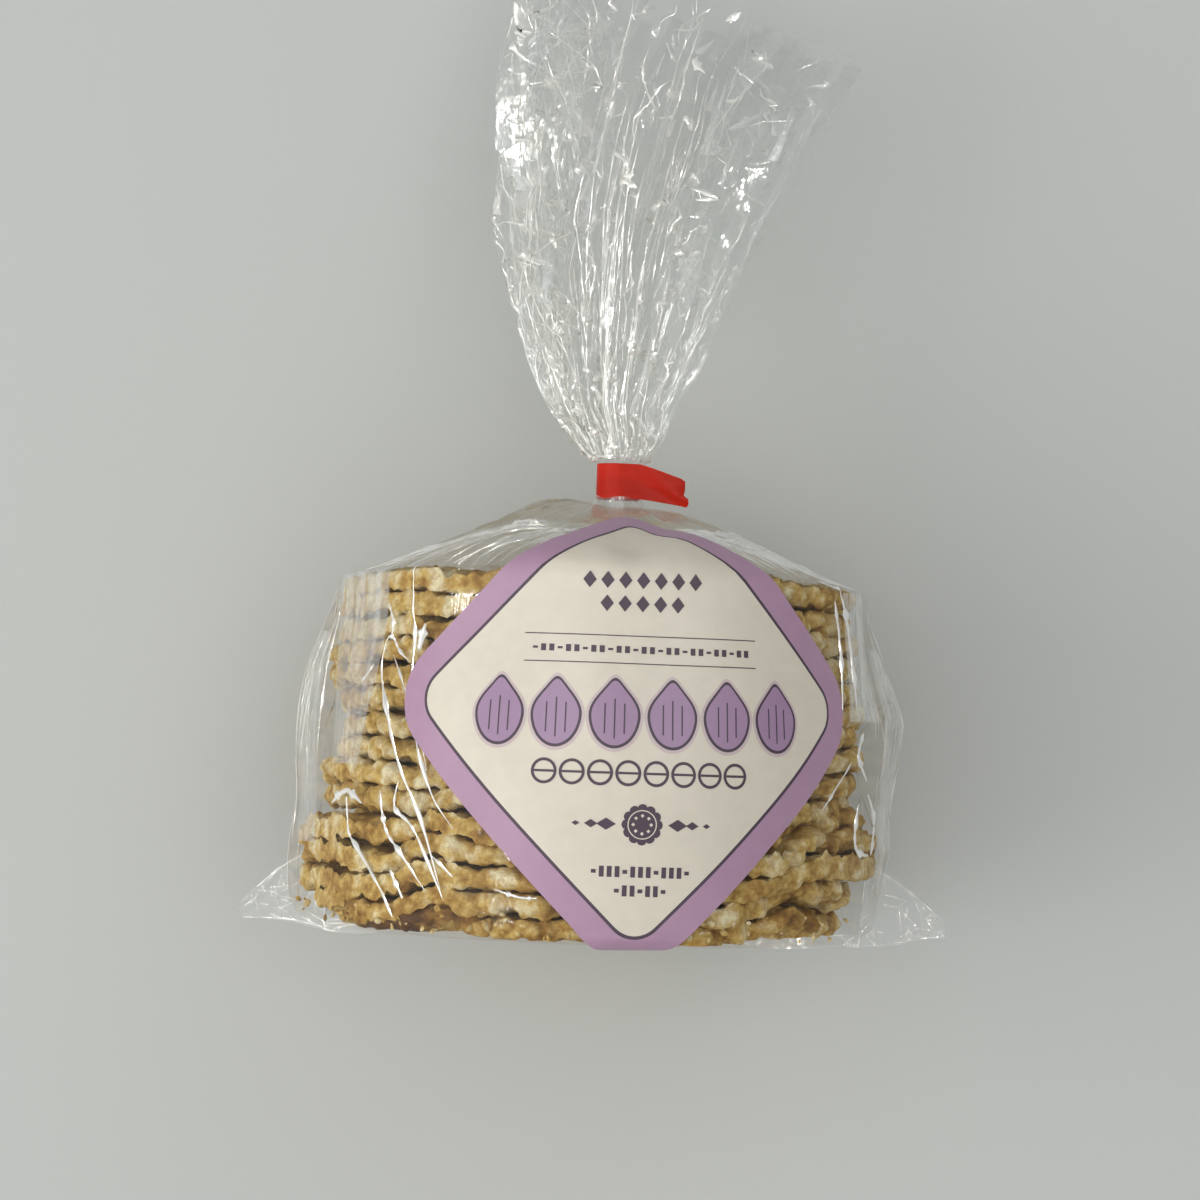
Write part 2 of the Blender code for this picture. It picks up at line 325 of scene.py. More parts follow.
class FilmSurvey:
    """Distances measured over the film, so that flat things can be laid on it at their true size."""

    columns = 360
    rows = 260

    def __init__(self, slack):
        parts = np.linspace(0, 1, self.rows)
        grid = np.meshgrid(np.linspace(0, TURN, self.columns + 1), parts, indexing="ij")
        points = film_along(*grid, slack)
        normals = unit(np.cross(np.gradient(points, axis=1), np.gradient(points, axis=0)))
        self.tables = (points, normals)
        lengths = np.cumsum(np.linalg.norm(np.diff(points, axis=1, prepend=points[:, :1]), axis=2), axis=1)
        straight = (parts > 0.23) & (parts < 0.64)
        zero = [np.interp(0.0, y[straight], run[straight]) for y, run in zip(points[..., 1], lengths)]
        self.lengths = lengths - np.array(zero)[:, None]

    def read(self, table, column, row):
        low = np.minimum(row.astype(int), self.rows - 2)
        share = (row - low)[:, None]
        return table[column, low] * (1 - share) + table[column, low + 1] * share

    def lay(self, across, along, lift):
        """Points at distances across and along from the barrel's top at y = 0, lifted off the film."""
        spot = np.mod(math.pi / 2 - across / FILM_RADIUS, TURN) / TURN * self.columns
        left = np.minimum(spot.astype(int), self.columns - 1)
        share = (spot - left)[:, None]
        numbers = np.arange(self.rows)
        point, normal = 0, 0
        for column, part in ((left, 1 - share), (left + 1, share)):
            row = np.array([np.interp(a, self.lengths[c], numbers) for a, c in zip(along, column)])
            point = point + self.read(self.tables[0], column, row) * part
            normal = normal + self.read(self.tables[1], column, row) * part
        return point + unit(normal) * np.asarray(lift)[:, None]


film = FilmSurvey(slack=1.0)
taut_film = FilmSurvey(slack=0.0)


# ---------------------------------------------------------------- finishes

def material(name):
    """A new node material, and its empty tree."""
    finish = bpy.data.materials.new(name)
    finish.use_nodes = True
    finish.node_tree.nodes.clear()
    return finish, finish.node_tree


def fill(tree, socket, value):
    """Link a socket to another node's output, or set a plain value on it."""
    if isinstance(value, bpy.types.NodeSocket):
        tree.links.new(value, socket)
    else:
        socket.default_value = value


def node(tree, kind, *values, out=0, **named_values):
    """The output of a new node, whose sockets and settings get the values given in order or by name."""
    made = tree.nodes.new("ShaderNode" + kind)
    for key, value in named_values.items():
        if hasattr(made, key):
            setattr(made, key, value)
        else:
            fill(tree, made.inputs[key.replace("_", " ")], value)
    for socket, value in zip(made.inputs, values):
        fill(tree, socket, value)
    return made.outputs[out]


def closed(finish, shader):
    """The material, with this shader as its surface."""
    surface = finish.node_tree.nodes.new("ShaderNodeOutputMaterial").inputs["Surface"]
    finish.node_tree.links.new(shader, surface)
    return finish


def ramp(tree, source, *stops):
    """Colours along a ramp read from source."""
    colour = node(tree, "ValToRGB", source)
    elements = colour.node.color_ramp.elements
    while len(elements) < len(stops):
        elements.new(0.5)
    for element, (place, shade) in zip(elements, stops):
        element.position = place
        element.color = (*shade, 1)
    return colour


def noise(tree, scale, detail=3.0, rough=0.55, stretch=(1, 1, 1)):
    """Noise on Object coordinates, drawn out along an axis by stretch."""
    place = node(tree, "Mapping", node(tree, "TexCoord", out="Object"), Scale=stretch)
    return node(tree, "TexNoise", Vector=place, Scale=scale, Detail=detail, Roughness=rough)


def bumped(tree, height, distance, strength=1.0):
    return node(tree, "Bump", Height=height, Distance=distance, Strength=strength)


def clear_film(name, haze_and_glint, mirror_share, roughness, crinkle, crinkle_scale):
    """Clear crinkled film: what is behind it, a faint white haze, and a sharp mirror that grows at a slant.

    The haze is a share, or the name of the attribute that holds it; on tucks that attribute holds painted
    glint, on the shoulder veil painted sheen."""
    finish, tree = material(name)
    normal = bumped(tree, noise(tree, crinkle_scale, 2.0, stretch=(1, 0.45, 1)), crinkle)
    clear = node(tree, "BsdfTransparent", Color=(0.996, 0.998, 0.995, 1))
    mirror = node(tree, "BsdfAnisotropic", distribution="GGX", Color=(1, 1, 1, 1), Roughness=roughness,
                  Normal=normal)
    veil_and_painted_glint = node(tree, "BsdfDiffuse", Color=(0.93, 0.95, 0.93, 1))
    slant = node(tree, "Fresnel", IOR=1.9, Normal=normal)
    if isinstance(haze_and_glint, str):
        haze_and_glint = node(tree, "Attribute", attribute_name=haze_and_glint, out="Fac")
    hazy_and_glinting = node(tree, "MixShader", haze_and_glint, clear, veil_and_painted_glint)
    shiny = node(tree, "MixShader", slant, hazy_and_glinting, mirror)
    return closed(finish, node(tree, "MixShader", mirror_share, hazy_and_glinting, shiny))


def painted_glint_film(name, clear_share, gleam, roughness):
    """A sharp crease of film, painted white as a glint that shows from every side, with a real mirror sheen on
    top.
    """
    finish, tree = material(name)
    clear = node(tree, "BsdfTransparent", Color=(1, 1, 1, 1))
    # this white diffuse is painted glint
    veil_and_painted_glint = node(tree, "BsdfDiffuse", Color=(0.95, 0.94, 0.90, 1))
    mirror = node(tree, "BsdfAnisotropic", distribution="GGX", Color=(1, 0.99, 0.94, 1), Roughness=roughness)
    white = node(tree, "MixShader", gleam, veil_and_painted_glint, mirror)
    return closed(finish, node(tree, "MixShader", 1 - clear_share, clear, white))


def baked_wafer():
    """Pale golden crumb: browner in patches, with painted shade in the rim's hollows and painted highlight on
    its high spots, dry and finely pitted.
    """
    finish, tree = material("baked_wafer")
    mottled = node(tree, "Math", noise(tree, 130, 5.0, 0.65), 2.1, -1.05, operation="MULTIPLY_ADD")
    # toast_and_shade holds real browning together with the painted shade and painted highlight of the rim
    toast_and_shade = node(tree, "Attribute", attribute_name="toast_and_shade", out="Fac")
    crumb = ramp(tree, node(tree, "Math", mottled, toast_and_shade, operation="ADD"), (0.02, (0.97, 0.87, 0.57)),
                 (0.32, (0.76, 0.535, 0.160)), (0.58, (0.49, 0.27, 0.050)), (0.92, (0.16, 0.072, 0.020)))
    specks = ramp(tree, noise(tree, 480, 5.0, 0.7), (0.38, (0.60, 0.44, 0.27)), (0.58, (1.0, 1.0, 1.0)))
    tint = node(tree, "Mix", 0.7, data_type="RGBA", blend_type="MULTIPLY", out=2)
    fill(tree, tint.node.inputs[6], crumb)
    fill(tree, tint.node.inputs[7], specks)
    pits = bumped(tree, noise(tree, 430, 8.0, 0.75), 1.0 * MM, 0.8)
    return closed(finish, node(tree, "BsdfPrincipled", Base_Color=tint, Normal=pits, Roughness=0.62,
                               Specular_IOR_Level=0.3))


def printed(name, colour, roughness=0.42):
    """Ink on coated paper: an even colour with a faint mottle and a fine tooth."""
    finish, tree = material(name)
    mottle = ramp(tree, noise(tree, 260, 4.0), (0.35, [0.955 * c for c in colour]), (0.65, colour))
    tooth = bumped(tree, noise(tree, 2600, 3.0), 0.05 * MM, 0.5)
    return closed(finish, node(tree, "BsdfPrincipled", Base_Color=mottle, Normal=tooth, Roughness=roughness,
                               Specular_IOR_Level=0.35))


def red_tape():
    """Satin red tape, a little worn and streaked along its length."""
    finish, tree = material("red_tape")
    streaks = ramp(tree, noise(tree, 300, 4.0, stretch=(0.3, 1, 0.3)),
                   (0.35, (0.54, 0.015, 0.004)), (0.65, (0.66, 0.021, 0.005)))
    worn = node(tree, "MapRange", noise(tree, 500, 3.0), To_Min=0.34, To_Max=0.5)
    grain = bumped(tree, noise(tree, 900, 3.0, stretch=(0.4, 1, 0.4)), 0.12 * MM, 0.5)
    return closed(finish, node(tree, "BsdfPrincipled", Base_Color=streaks, Normal=grain, Roughness=worn,
                               Specular_IOR_Level=0.12))


film_tight = clear_film("film_drawn_tight", 0.006, 0.20, 0.13, 0.40 * MM, 260)
film_gathered = clear_film("film_gathered", 0.10, 0.45, 0.12, 0.50 * MM, 260)
film_loose = clear_film("film_loose", 0.040, 0.19, 0.09, 0.10 * MM, 320)
film_doubled = clear_film("film_doubled", 0.15, 0.35, 0.10, 0.30 * MM, 320)
# film_folded reads its white from an attribute: haze on doubled film and the collar, painted glint on tucks,
# painted sheen on the shoulder veil.
film_folded = clear_film("film_folded", "haze_and_glint", 0.35, 0.10, 0.30 * MM, 320)
# The crease strips' white is painted glint: nearly opaque on bright creases, half clear on faint ones.
crease_painted_glint = painted_glint_film("crease_painted_glint", 0.02, 0.40, 0.20)
faint_crease_painted_glint = painted_glint_film("faint_crease_painted_glint", 0.55, 0.45, 0.22)
wafer_finish = baked_wafer()
lilac_paper = printed("lilac_paper", (0.475, 0.292, 0.415))
cream_paper = printed("cream_paper", (0.78, 0.715, 0.595))
dark_ink = printed("dark_ink", (0.085, 0.055, 0.080), 0.5)
lilac_ink = printed("lilac_ink", (0.40, 0.26, 0.40))
halo_ink = printed("halo_ink", (0.66, 0.53, 0.53))
tape_finish = red_tape()


def finish_piece(piece, look, *nodes, slot="film_and_wafers"):
    """Give a finished piece its material and its body, and hide the nodes that it stands for; slot is not used.
    """
    if look is not None:
        piece.data.materials.clear()
        piece.data.materials.append(look)
    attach(piece, "root")
    if nodes:
        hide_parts(*nodes)


# ---------------------------------------------------------------- wafers

def texture(kind, name, size, **settings):
    made = bpy.data.textures.new(name, kind)
    made.noise_scale = size
    for key, value in settings.items():
        setattr(made, key, value)
    return made


def relief(wafer, guide, coats):
    """Displace a wafer's rim by textures placed by the guide, each with its strength."""
    for coat, strength in coats.items():
        modifier = wafer.modifiers.new(coat.name, "DISPLACE")
        modifier.texture = coat
        modifier.texture_coords = "OBJECT"
        modifier.texture_coords_object = guide
        modifier.strength = strength
        modifier.vertex_group = "rim"
    apply(wafer)


def polar(x, z):
    return np.arctan2(z, x), np.hypot(x, z)


def wafer_profile(radius, thickness, ring):
    """Half of a wafer's section, from the middle of one face round the rim to the middle of the other."""
    half = thickness / 2
    rim_start = radius - 12 * MM
    flat_end = radius - 1.7 * MM
    spots = [*np.arange(0, rim_start, ring), *np.linspace(rim_start, flat_end, 11)]
    rim = [(flat_end + 1.7 * MM * math.sin(t), half * math.cos(t), 0.0)
           for t in np.linspace(0.4, math.pi - 0.4, 6)]
    return [(r, half, 0.0) for r in spots] + rim + [(r, -half, 0.0) for r in reversed(spots)]


def spun_wafer(name, ring):
    """A plain wafer round the Y axis, turned from its section."""
    piece = trace(name, wafer_profile(61.0 * MM, 4.3 * MM, ring))
    edit(piece, "VERT")
    bpy.ops.mesh.spin(steps=460, angle=TURN, center=(0, 0, 0), axis=(0, 1, 0))
    tidy_mesh(piece)
    group = piece.vertex_groups.new(name="rim")
    co = points_of(piece)
    for index, weight in enumerate(ease(44 * MM, 58 * MM, np.hypot(co[:, 0], co[:, 2]))):
        group.add([index], 0.08 + 0.92 * float(weight), "REPLACE")
    return piece


def waves(rng, sizes):
    """An uneven wave round a wafer: sizes gives, for each number of turns, its height."""
    phases = rng.uniform(0, TURN, len(sizes))

    def wave(angle, drift=0.0):
        return sum(size * np.sin(turns * angle + phase + drift)
                   for (turns, size), phase in zip(sizes.items(), phases))
    return wave


def toast_and_shade_marks(piece, plain, browner, scorch, pattern):
    """How brown each point is: painted shade makes the hollows of the rim darker and painted highlight makes
    the raised crumbs paler;
    the iron's pattern is browner, and one stretch of the rim is scorched."""
    x, z = plain[:, 0], plain[:, 2]
    rise = points_of(piece) - plain
    reach = np.hypot(x, z)
    radial = (rise[:, 0] * x + rise[:, 2] * z) / np.maximum(reach, MM)
    at_rim = ease(52 * MM, 58 * MM, reach)
    # painted shade in the rim's hollows and painted highlight on its raised crumbs, from how far the relief
    # pushed each point in or out
    toast_and_shade = 0.30 + browner - 170 * radial * ease(50 * MM, 58 * MM, reach)
    toast_and_shade = toast_and_shade + scorch * bump(-47 * MM, 15 * MM, x) * ease(10 * MM, 30 * MM, z) * at_rim
    if len(pattern):
        toast_and_shade = toast_and_shade + (0.36 * pattern - 0.30) * (1 - at_rim)
    mark(piece, "toast_and_shade", toast_and_shade)


def emboss(piece, height):
    """The iron's pattern on both faces: a flower in the middle, a ring, and a waffle lattice round it."""
    co = points_of(piece)
    x, z = co[:, 0], co[:, 2]
    angle, reach = polar(x, z)
    petals = np.abs(np.sin(4 * angle)) * bump(13 * MM, 12 * MM, reach)
    veins = np.abs(tri(16 * angle / TURN)) * ease(20 * MM, 23 * MM, reach) * ease(34 * MM, 31 * MM, reach)
    rings = sum(bump(middle * MM, width * MM, reach) for middle, width in ((21.5, 1.8), (35.5, 2.0), (55, 2.0)))
    pitch = 4.6 * MM * math.sqrt(2)
    ribs = np.maximum(*(ease(0.25, 0.9, np.abs(tri(along / pitch))) for along in (x + z, x - z)))
    lattice = ribs * ease(37 * MM, 39 * MM, reach) * ease(54 * MM, 52 * MM, reach)
    raised = np.clip(0.9 * petals + 0.8 * veins + rings + lattice, 0, 1.1)
    co[:, 1] += np.sign(co[:, 1]) * height * raised
    set_points(piece, co)
    return raised


def tuck_in(piece, gap=0.5 * MM):
    """Hold a wafer inside the film: nothing of it may pass a small gap under it."""
    co = points_of(piece)
    y = np.clip(co[:, 1], STACK_BACK + 0.5 * MM, STACK_FRONT)
    height = barrel_height(y)
    angle, reach = polar(co[:, 0], co[:, 2] - height)
    radius = section_radius(angle, y)[0]
    soft = radius - 2.6 * MM
    over = np.maximum(reach - soft, 0)
    held = np.where(reach > soft, soft + 1.2 * MM * np.tanh(over / (1.2 * MM)), reach)
    co[:, 0] = held * np.cos(angle)
    co[:, 2] = np.maximum(height + held * np.sin(angle), gap)
    part = np.clip((radius - held) / (radius - NECK_RADIUS), 0, 1)
    rise = np.sin(math.pi / 2 * part) ** shoulder_fullness(angle)
    front = RIM_Y + 0.8 * (NECK.y - RIM_Y) * rise - 0.6 * MM
    co[:, 1] = np.clip(co[:, 1], STACK_BACK + gap, front)
    set_points(piece, co)


# How far each wafer reaches to the left and to the right, from the bottom of the bag to its neck.
LEFT_REACH = (57, 62, 66.5, 66, 65, 61, 61, 58.5, 57.5, 58.5, 60.5, 60, 59.8, 60, 60.5)
RIGHT_REACH = (55, 58, 65, 63, 57.5, 57, 59, 60, 58, 59.5, 58.5, 57.5, 57, 56.5, 57)
RIM_LUMPS = {4: 0.8, 7: 0.8, 11: 0.7, 17: 0.65, 26: 0.5, 37: 0.4}
RIM_WAVES = {3: 0.9, 5: 0.8, 8: 0.75, 13: 0.55, 21: 0.4}


def make_wafers():
    """The stack: every wafer a little different in size, lie, waviness and rim."""
    rng = np.random.RandomState(7)
    plain = spun_wafer("plain_wafer", 9 * MM)
    fine = spun_wafer("fine_wafer", 1.5 * MM)
    pattern = emboss(fine, 0.60 * MM)
    coats = {texture("VORONOI", "wafer_lumps", 6.0 * MM): -2.3 * MM,
             texture("VORONOI", "wafer_pebbles", 3.0 * MM): -1.7 * MM,
             texture("CLOUDS", "wafer_grain", 1.9 * MM, noise_depth=2, contrast=1.4): 1.0 * MM}
    guide = bpy.data.objects.new("texture_guide", None)
    bpy.context.scene.collection.objects.link(guide)
    shared_wave = waves(rng, RIM_WAVES)
    for k, (left, right) in enumerate(zip(LEFT_REACH, RIGHT_REACH)):
        bottom, top = k == 0, k == WAFER_COUNT - 1
        ruffled = 1.0 if k < 5 else 0.45
        wafer = copy_of(fine if bottom or top else plain, f"wafer_{k + 1:02d}")
        co = points_of(wafer)
        angle, reach = polar(co[:, 0], co[:, 2])
        outline = waves(rng, RIM_LUMPS)(angle) * 1.2 * ruffled * ease(30 * MM, 60 * MM, reach) * MM
        co[:, 0] += outline * np.cos(angle)
        co[:, 2] += outline * np.sin(angle)
        own_wave = (0.45 if 0 < k < 5 else 0.3) * waves(rng, RIM_WAVES)(angle)
        co[:, 1] += (shared_wave(angle, 0.3 * k) + own_wave) * ruffled * ease(20 * MM, 60 * MM, reach) * MM
        set_points(wafer, co)
        guide.location = rng.uniform(-1, 1, 3)
        relief(wafer, guide, coats)
        browner = 0.20 if bottom else 0.08 if k < 5 else 0.0
        toast_and_shade_marks(wafer, co, browner, 0.75 if bottom else 0.0, pattern if bottom or top else [])
        y = STACK_BACK + (k + 0.5) * WAFER_PITCH + (0.6 if bottom else -0.2 if top else 0) * MM
        lean = rng.uniform(-0.5, 0.5) + (0.8 if bottom else 2.6 if k < 5 else 0.0)
        wafer.scale = ((left + right) / 122, 1, (barrel_radius(y) - 1.2 * MM) / (61 * MM))
        wafer.rotation_euler = (0, 0, math.radians(lean))
        wafer.location = ((right - left) / 2 * MM, y, barrel_height(y))
        work_on(wafer)
        bpy.ops.object.transform_apply()
        tuck_in(wafer)
        smooth(wafer, 60)
        finish_piece(wafer, wafer_finish)
    for helper in (plain, fine, guide):
        bpy.data.objects.remove(helper)


def make_crumbs():
    """Crumbs and chips that have slid to the bottom of the bag, between the wafers and the film."""
    rng = np.random.RandomState(3)
    deselect()
    bpy.ops.mesh.primitive_ico_sphere_add(subdivisions=2, radius=1)
    first = named("crumb")
    ball = points_of(first)
    pieces = []
    for k in range(80):
        size = rng.uniform(0.22, 0.85) * MM * np.array([1.3, 1.0, 0.6]) * rng.uniform(0.7, 1.3, 3)
        knobs = np.sin(ball @ rng.uniform(-4, 4, (3, 3)) + rng.uniform(0, 6, 3)).sum(axis=1)[:, None]
        turned = (ball * (1 + 0.15 * knobs) * size) @ np.linalg.qr(rng.normal(0, 1, (3, 3)))[0]
        angle = math.pi / 2 + rng.normal(0.2, 0.7)
        y = STACK_BACK + rng.uniform(1.0, 6.5) * MM
        reach = section_radius(np.array(angle), np.array(y))[0] - 1.6 * MM
        spot = (reach * math.cos(angle), y, barrel_height(y) + reach * math.sin(angle))
        pieces.append(copy_of(first, f"crumb_{k:03d}"))
        set_points(pieces[-1], turned + spot)
    bpy.data.objects.remove(first)
    crumbs = join("crumbs", pieces)
    mark(crumbs, "toast_and_shade", np.full(len(crumbs.data.vertices), 0.25))
    finish_piece(crumbs, wafer_finish)


# ---------------------------------------------------------------- the film

def make_body_film():
    """The film over the stack, from the sealed bottom to the neck."""
    body = sheet_grid("film_body", 320, 210, lambda u, v: film_along(TURN * u, v))
    smooth(body, 80)
    body.data.materials.append(film_tight)
    body.data.materials.append(film_gathered)
    for face in body.data.polygons:
        face.material_index = int(face.center.y > RIM_Y + 1.5 * MM)
    finish_piece(body, None, "bag")


class Ruffle:
    """The gathered film beyond the tape: deep uneven pleats that fan out, droop and crinkle."""

    pleats = 23
    around = 0.40

    def __init__(self, rng):
        self.depths = rng.uniform(0.14, 0.60, self.pleats)
        self.leans = rng.uniform(-0.5, 0.5, self.pleats)
        self.folds = [self.fold(rng, 4, (8, 38), 0.20) for _ in range(270)]
        self.folds += [self.fold(rng, 20, (5, 16), 1.1) for _ in range(130)]

    def fold(self, rng, first, length, lean):
        """A random short fold of the unrolled sheet: middle, direction, half length, half width and height."""
        middle = (rng.uniform(0, self.around), rng.uniform(first * MM, 118 * MM))
        turn = rng.normal(0, lean)
        return (*middle, math.sin(turn), math.cos(turn), rng.uniform(*length) * MM / 2,
                rng.uniform(1.6, 5.0) * MM, rng.choice((-1, 1)) * rng.uniform(0.45, 1.5) * MM)

    def crinkle(self, a, l):
        """The height of the folds, each a little tent with a sharp ridge, at points of the unrolled sheet."""
        height = np.zeros_like(a)
        for ma, ml, da, dl, reach, width, rise in self.folds:
            near = np.abs(l - ml) < reach + width
            if near.any():
                x, y = a[near] - ma, l[near] - ml
                off = np.clip(1 - np.abs(x * dl - y * da) / width, 0, 1)
                height[near] += rise * off * np.clip(2 * (1 - np.abs(x * da + y * dl) / reach), 0, 1)
        return height

    def between(self, sizes, turns):
        """A size of each pleat, drawn out evenly to the next one's."""
        return np.interp(turns, np.arange(self.pleats + 1), np.append(sizes, sizes[0]))

    def place(self, u, v):
        u = np.mod(u, 1.0)
        part = np.maximum(v, 0) ** 1.15
        along = RUFFLE_LENGTH * part
        freed = np.sqrt(along) * (1 - 0.5 * np.exp(-along / (12 * MM)))
        drawn_in = ease(3 * MM, 14 * MM, along) * ease(80 * MM, 45 * MM, along)
        half_width = NECK_RADIUS + 0.117 * freed * (1 - 0.06 * drawn_in)
        half_height = NECK_RADIUS + 0.050 * freed
        turns = u * self.pleats
        opened = ease(0, 0.12, part)
        wander = 0.35 * np.sin(TURN * u * 3 + 4 * part) + 0.2 * np.sin(TURN * u * 7 - 6 * part)
        zigzag = 0.5 + 0.5 * tri(turns + wander * part)
        angle = TURN * u + opened * 0.16 * self.between(self.leans, turns) * zigzag
        shrink = 1 - opened * self.between(self.depths, turns) * zigzag
        crinkle = self.crinkle(u * self.around, along) * ease(0, 0.18, part)
        slant = math.radians(20.5) * part ** 2
        across = (half_width * shrink + crinkle) * np.cos(angle)
        x = NECK.x + 14 * MM * part ** 3 - 2.0 * MM * drawn_in + across * np.cos(slant)
        y = TAPE_END + along - across * np.sin(slant) + 1.5 * MM * part ** 4 * np.sin(TURN * u * 5)
        z = NECK.z - 33 * MM * part ** 1.6 + (half_height * shrink + crinkle) * np.sin(angle)
        return np.stack([x, y, np.maximum(z, 1.0 * MM)], -1)


def round_neck(u, radius, y):
    """Points round the neck, u from 0 to 1."""
    return np.stack([NECK.x + radius * np.cos(TURN * u), y, NECK.z + radius * np.sin(TURN * u)], -1)


def make_ruffle():
    """The ruffle, its neck under the tape, and the creases and tucks along its folds, whose white is painted
    glint.
    """
    rng = np.random.RandomState(11)
    shape = Ruffle(rng)
    ruffle = sheet_grid("film_ruffle", 460, 190, shape.place)
    smooth(ruffle, 14)
    finish_piece(ruffle, film_loose)
    neck = sheet_grid("film_neck", 92, 24, lambda u, v: round_neck(
        u, NECK_RADIUS - 0.25 * MM * (1 + tri(shape.pleats * u)), NECK.y + (TAPE_END - NECK.y) * v))
    smooth(neck, 60)
    finish_piece(neck, film_loose)
    lay = laid_on(shape.place)
    bright, faint = [], []
    kinds = (("long", 340, 0.0026, (0.08, 0.36), (0.09, 0.25), 30),
             ("short", 260, 0.005, (0.03, 0.12), (0.14, 0.38), 18),
             ("glint", 190, 0.004, (0.012, 0.035), (0.40, 1.20), 8))
    for kind, count, kink, lengths, widths, steps in kinds:
        for k in range(count):
            middle = away_from_right(rng)
            if kind == "long":
                middle = (round(middle * 2 * shape.pleats) + rng.uniform(-0.15, 0.15)) / 2 / shape.pleats
            length = rng.uniform(*lengths)
            start = 0.01 + (0.98 - length) * rng.uniform(0, 1) ** 1.7
            across = middle + np.cumsum(rng.normal(0, kink, 5))
            spots = list(zip(across, np.linspace(start, start + length, 5)))
            strip = ridge(f"ruffle_{kind}_{k:03d}", lay, spots, steps, rng.uniform(*widths), 0.6)
            (faint if k % 4 == 0 or math.cos(TURN * middle) > 0.75 else bright).append(strip)
    # Bright and faint strips of painted glint along the pleats.
    join_folds("ruffle_glints", bright, crease_painted_glint)
    join_folds("ruffle_folds", faint, faint_crease_painted_glint)
    tucks, facets = [], []
    for k in range(360):
        length = rng.uniform(3, 19 if k % 3 else 9) * MM / RUFFLE_LENGTH
        corner = (away_from_right(rng), rng.uniform(0.05, 0.95 - length))
        width = rng.uniform(1.2, 4.5) * MM / shape.around
        piece = tuck(f"ruffle_tuck_{k:03d}", lay, corner, width, length, rng.normal(0, 0.6) * width,
                     rng.uniform(0.5, 1.2), k % 2)
        (tucks if k % 3 else facets).append(piece)
    # Tucks with painted glint along one side, and small facets of painted glint.
    finish_piece(join("ruffle_tucks", tucks), film_folded)
    finish_piece(join("ruffle_facets", facets), faint_crease_painted_glint)


def away_from_right(rng):
    """A place round the ruffle, seldom on its right side, which stays clear."""
    place = rng.uniform(0, 1)
    while math.cos(TURN * place) > rng.uniform(0.1, 1.2):
        place = rng.uniform(0, 1)
    return place


def smooth_path(points, steps):
    """Points along a smooth curve through the given ones."""
    knots = [points[0], *points, points[-1]]
    path = []
    for a, b, c, d in zip(knots, knots[1:], knots[2:], knots[3:]):
        for t in np.linspace(0, 1, steps, endpoint=False):
            path.append([0.5 * (2 * q + (r - p) * t + (2 * p - 5 * q + 4 * r - s) * t * t
                                + (3 * q - p - 3 * r + s) * t ** 3) for p, q, r, s in zip(a, b, c, d)])
    return np.array([*path, points[-1]])


unevenness = np.random.RandomState(31)
plain_strips = {}


def plain_strip(name, columns, rows):
    """A copy of a flat strip, with its points' u and v."""
    size = (columns, rows)
    if size not in plain_strips:
        plain_strips[size] = sheet_grid("plain_strip", columns, rows, lambda u, v: np.stack([u, v, 0 * u], -1),
                                        closed=False)
    strip = copy_of(plain_strips[size], name)
    return strip, *points_of(strip)[:, :2].T


def ridge(name, lay, spots, steps, width, rise):
    """A narrow round ridge that swells here and there, from spot to spot of the film that lay() reads.

    The width is half of the ridge's own, in mm, and the rise a share of it."""
    t = np.linspace(0, 1, steps + 1)
    start = unevenness.uniform(0, TURN)
    swell = 0.75 + 1.1 * np.maximum(0, np.sin(14 * t + start)) ** 5 + 0.25 * np.sin(44 * t + 2 * start)
    across, along = (np.interp(t, np.linspace(0, 1, len(spots)), column) for column in np.transpose(spots))
    centre = lay(across, along, 0 * t)
    normal = unit(lay(across, along, 0 * t + MM) - centre)
    side = unit(np.cross(np.gradient(centre, axis=0), normal))
    taper = swell * np.sin(math.pi * np.clip(t, 0.03, 0.97)) ** 0.5 * width * MM
    strip, u, v = plain_strip(name, 4, steps)
    row = np.rint(v * steps).astype(int)
    bow = 2 * u - 1
    lift = 0.03 * MM + rise * taper[row] * np.cos(bow * math.pi / 2)
    points = centre[row] + side[row] * (bow * taper[row])[:, None] + normal[row] * lift[:, None]
    points[:, 2] = np.maximum(points[:, 2], 0)
    set_points(strip, points)
    return strip


def tuck(name, lay, corner, width, length, lean, white, flip):
    """A small flat fold of film, with painted glint in white along one side and clear along the other; lay()
    puts it in place.
    """
    piece, u, v = plain_strip(name, 6, 8)
    across = corner[0] + width * u * (1 - 0.9 * v) + lean * v
    set_points(piece, lay(across, corner[1] + length * v, 0.15 * MM + 0.4 * MM * u * (1 - v)))
    solid = 1 - u if flip else u
    # painted glint: white fading from one side of the tuck
    haze_and_glint = white * solid ** 1.5 * (0.65 + 0.35 * np.sin(9 * u + 5 * v)) * ease(1, 0.7, v)
    mark(piece, "haze_and_glint", np.maximum(haze_and_glint, 0.01))
    return piece


def crease(name, points, width):
    """A pinched fold of the drawn film, along points given in mm across and along it."""
    path = smooth_path(points, 8) * MM
    return ridge(name, film.lay, path, len(path) - 1, width, 0.8)


def join_folds(name, strips, look):
    folds = join(name, strips)
    smooth(folds, 80)
    finish_piece(folds, look)
